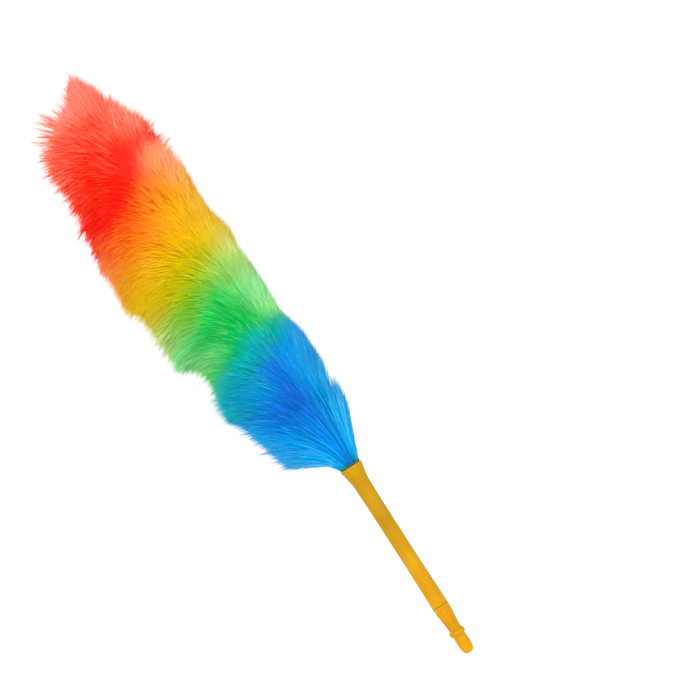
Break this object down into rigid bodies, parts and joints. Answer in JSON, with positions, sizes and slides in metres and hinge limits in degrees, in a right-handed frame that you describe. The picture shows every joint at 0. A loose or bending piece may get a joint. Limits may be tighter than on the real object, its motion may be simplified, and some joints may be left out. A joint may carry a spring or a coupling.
{
  "type": "synthetic fibre duster",
  "caption": "Rainbow synthetic-fibre duster: fluffy blue-green-yellow-red plume on a springy twisted-wire core in a slim yellow plastic handle.",
  "frame": {"origin": "centre of the hand grip, on the handle's axis, 92 mm above the butt", "axes": "+Z along the handle's axis towards the plume's tip; the plume leans towards -X; Y is across"},
  "size_m": [0.1052, 0.0914, 0.5765],
  "materials": {
    "handle_plastic": "satin",
    "bush_plastic": "matte",
    "wire_steel": "satin",
    "hot_melt": "satin",
    "binding_thread": "matte",
    "fibre_blue": "satin",
    "fibre_green": "satin",
    "fibre_yellow": "satin",
    "fibre_red": "satin"
  },
  "bodies": {
    "root": {"handle_shell": "handle_plastic", "end_plug": "handle_plastic", "socket_bush": "bush_plastic", "clinch_washer": "wire_steel", "socket_glue": "hot_melt", "root_binding": "binding_thread", "core_wire": "wire_steel", "blue_tuft_1": "fibre_blue", "blue_tuft_2": "fibre_blue", "blue_tuft_3": "fibre_blue"},
    "plume_low": {"blue_tuft_4": "fibre_blue", "blue_tuft_5": "fibre_blue", "green_tuft_1": "fibre_green"},
    "plume_mid": {"green_tuft_2": "fibre_green", "green_tuft_3": "fibre_green", "green_tuft_4": "fibre_green", "yellow_tuft_1": "fibre_yellow"},
    "plume_high": {"yellow_tuft_2": "fibre_yellow", "yellow_tuft_3": "fibre_yellow", "red_tuft_1": "fibre_red"},
    "plume_tip": {"red_tuft_2": "fibre_red", "red_tuft_3": "fibre_red", "red_tuft_4": "fibre_red"}
  },
  "joints": [
    {"name": "bend_side_low", "type": "hinge", "parent": "root", "child": "plume_low", "pos_m": [-0.00161, 0, 0.1556], "axis": [0, 1, 0], "range_deg": [-8, 8], "stiffness_Nm_per_rad": 2, "deforming": ["core_wire"]},
    {"name": "bend_front_low", "type": "hinge", "parent": "plume_low", "child": "plume_mid", "pos_m": [-0.00663, 0, 0.2216], "axis": [1, 0, 0], "range_deg": [-8, 8], "stiffness_Nm_per_rad": 2, "deforming": ["core_wire"]},
    {"name": "bend_side_high", "type": "hinge", "parent": "plume_mid", "child": "plume_high", "pos_m": [-0.01756, 0, 0.3096], "axis": [0, 1, 0], "range_deg": [-8, 8], "stiffness_Nm_per_rad": 2, "deforming": ["core_wire"]},
    {"name": "bend_front_high", "type": "hinge", "parent": "plume_high", "child": "plume_tip", "pos_m": [-0.02614, 0, 0.3756], "axis": [1, 0, 0], "range_deg": [-8, 8], "stiffness_Nm_per_rad": 2, "deforming": ["core_wire"]}
  ],
  "couplings": [
    {"joint": "bend_side_high", "follows": "bend_side_low", "ratio": 1},
    {"joint": "bend_front_high", "follows": "bend_front_low", "ratio": 1}
  ]
}
